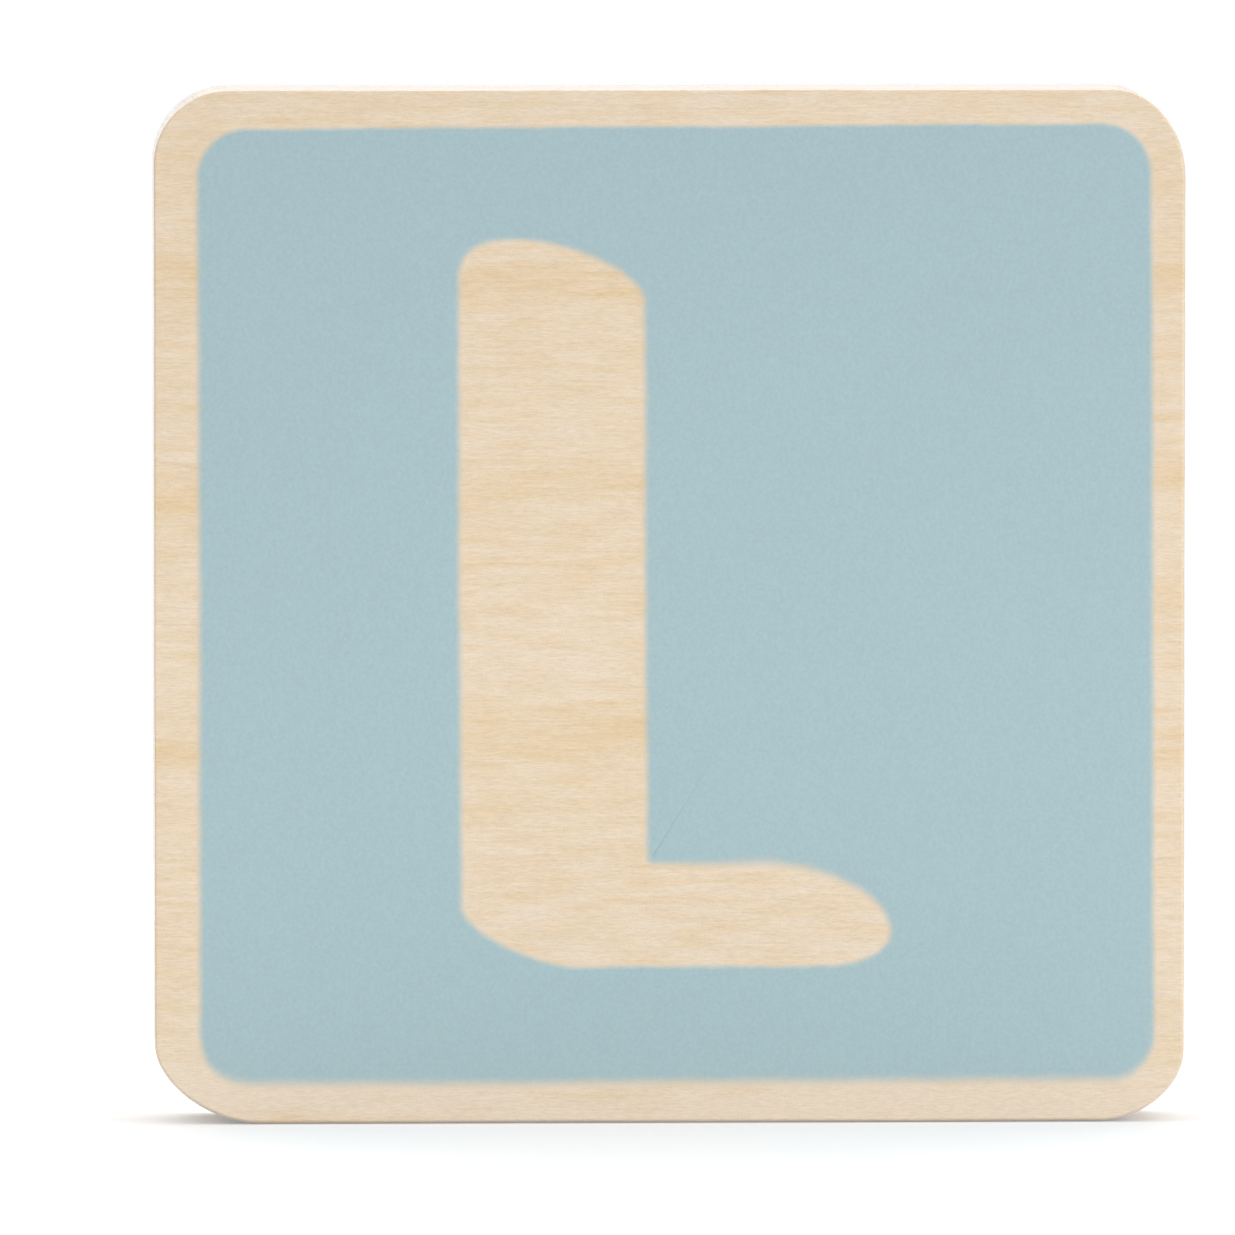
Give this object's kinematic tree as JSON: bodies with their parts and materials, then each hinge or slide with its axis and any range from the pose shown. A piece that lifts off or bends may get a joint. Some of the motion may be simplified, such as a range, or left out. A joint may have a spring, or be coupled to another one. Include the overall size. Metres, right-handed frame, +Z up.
{
  "type": "letter tile",
  "caption": "Square plywood letter tile for a wooden letter train, with rounded corners and a pale blue painted field that leaves a border and a capital letter in bare wood.",
  "frame": {"origin": "middle of the lower edge that the tile stands on, halfway through the plywood", "axes": "+X to the right as the letter is read, +Y through the thickness from the painted face to the back, +Z up"},
  "size_m": [0.07, 0.0091, 0.0703],
  "materials": {
    "birch_face": "sanded bare birch veneer, fine grain running across, matt",
    "birch_long_ply": "sanded plywood edge, grain running across the tile, matt",
    "birch_cross_ply": "sanded plywood edge, grain running up the tile, matt",
    "pale_blue_paint": "thin matt water-based paint with soft edges"
  },
  "bodies": {
    "root": {"front_face_veneer": "birch_face", "front_cross_veneer": "birch_cross_ply", "front_long_veneer": "birch_long_ply", "core_veneer": "birch_cross_ply", "back_long_veneer": "birch_long_ply", "back_cross_veneer": "birch_cross_ply", "back_face_veneer": "birch_face", "paint_field": "pale_blue_paint"}
  },
  "joints": []
}
